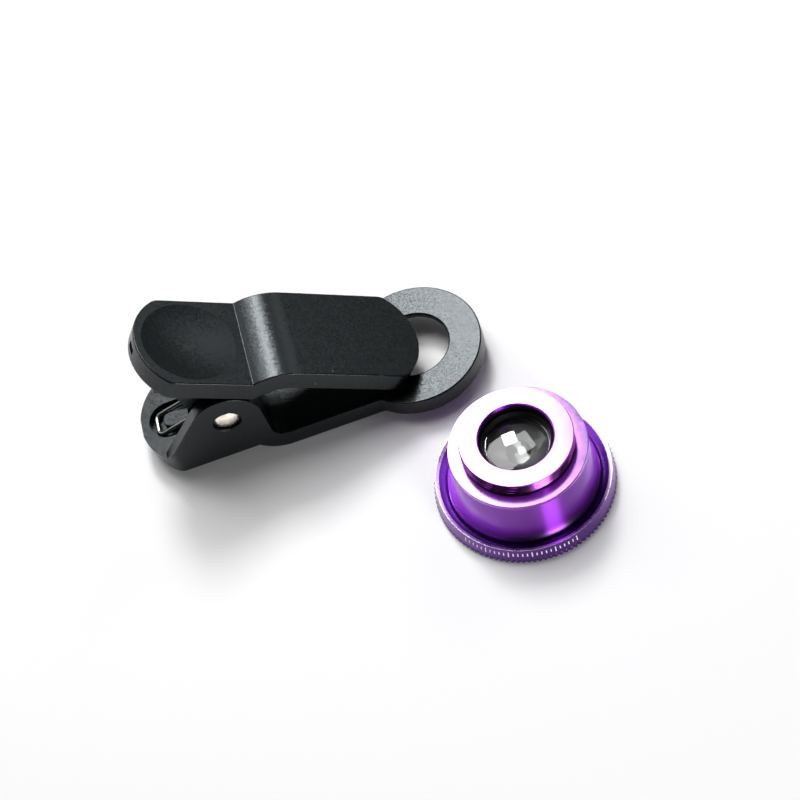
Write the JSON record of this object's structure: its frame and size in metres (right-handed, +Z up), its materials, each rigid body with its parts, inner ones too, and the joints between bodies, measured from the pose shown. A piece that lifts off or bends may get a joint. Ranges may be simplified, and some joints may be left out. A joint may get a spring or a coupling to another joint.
{
  "type": "clip-on phone lens",
  "caption": "Spring clip with a lens ring, and a purple screw-in fisheye lens for a phone camera, unscrewed and standing beside the clip.",
  "frame": {"origin": "middle of the bottom face of the whole bounding box, on the surface that the clip and the lens stand on", "axes": "+X along the clip from the finger pads to the ring, +Z up, -Y towards the lens that stands in front"},
  "size_m": [0.075, 0.057, 0.0287],
  "materials": {
    "black_abs": "spark-eroded matte moulding",
    "black_rubber": "soft, dull",
    "nickel_steel": "nickel-plated, polished dome",
    "spring_steel": "drawn and plated wire",
    "purple_anodised_aluminium": "turned, polished and dyed purple",
    "purple_anodised_ring": "turned and dyed purple, knurled foot",
    "coated_glass": "polished, coated",
    "clear_glass": "polished",
    "blackened_aluminium": "black anodised"
  },
  "bodies": {
    "root": {"lower_jaw": "black_abs", "pivot_pin": "nickel_steel", "torsion_spring": "spring_steel", "lens_barrel": "purple_anodised_aluminium", "front_ring": "purple_anodised_ring", "front_dome": "coated_glass", "front_spacer": "blackened_aluminium", "middle_lens": "clear_glass", "aperture_stop": "blackened_aluminium", "rear_spacer": "blackened_aluminium", "rear_lens": "clear_glass", "rear_retainer": "blackened_aluminium"},
    "upper_jaw_body": {"upper_jaw": "black_abs", "jaw_pad": "black_rubber"}
  },
  "joints": [
    {"name": "jaw_hinge", "type": "hinge", "parent": "root", "child": "upper_jaw_body", "pos_m": [-0.02207, 0.0165, 0.01161], "axis": [0, -1, 0], "range_deg": [0, 72], "stiffness_Nm_per_rad": 0.05, "springref_deg": -45.84, "deforming": ["torsion_spring"]}
  ]
}
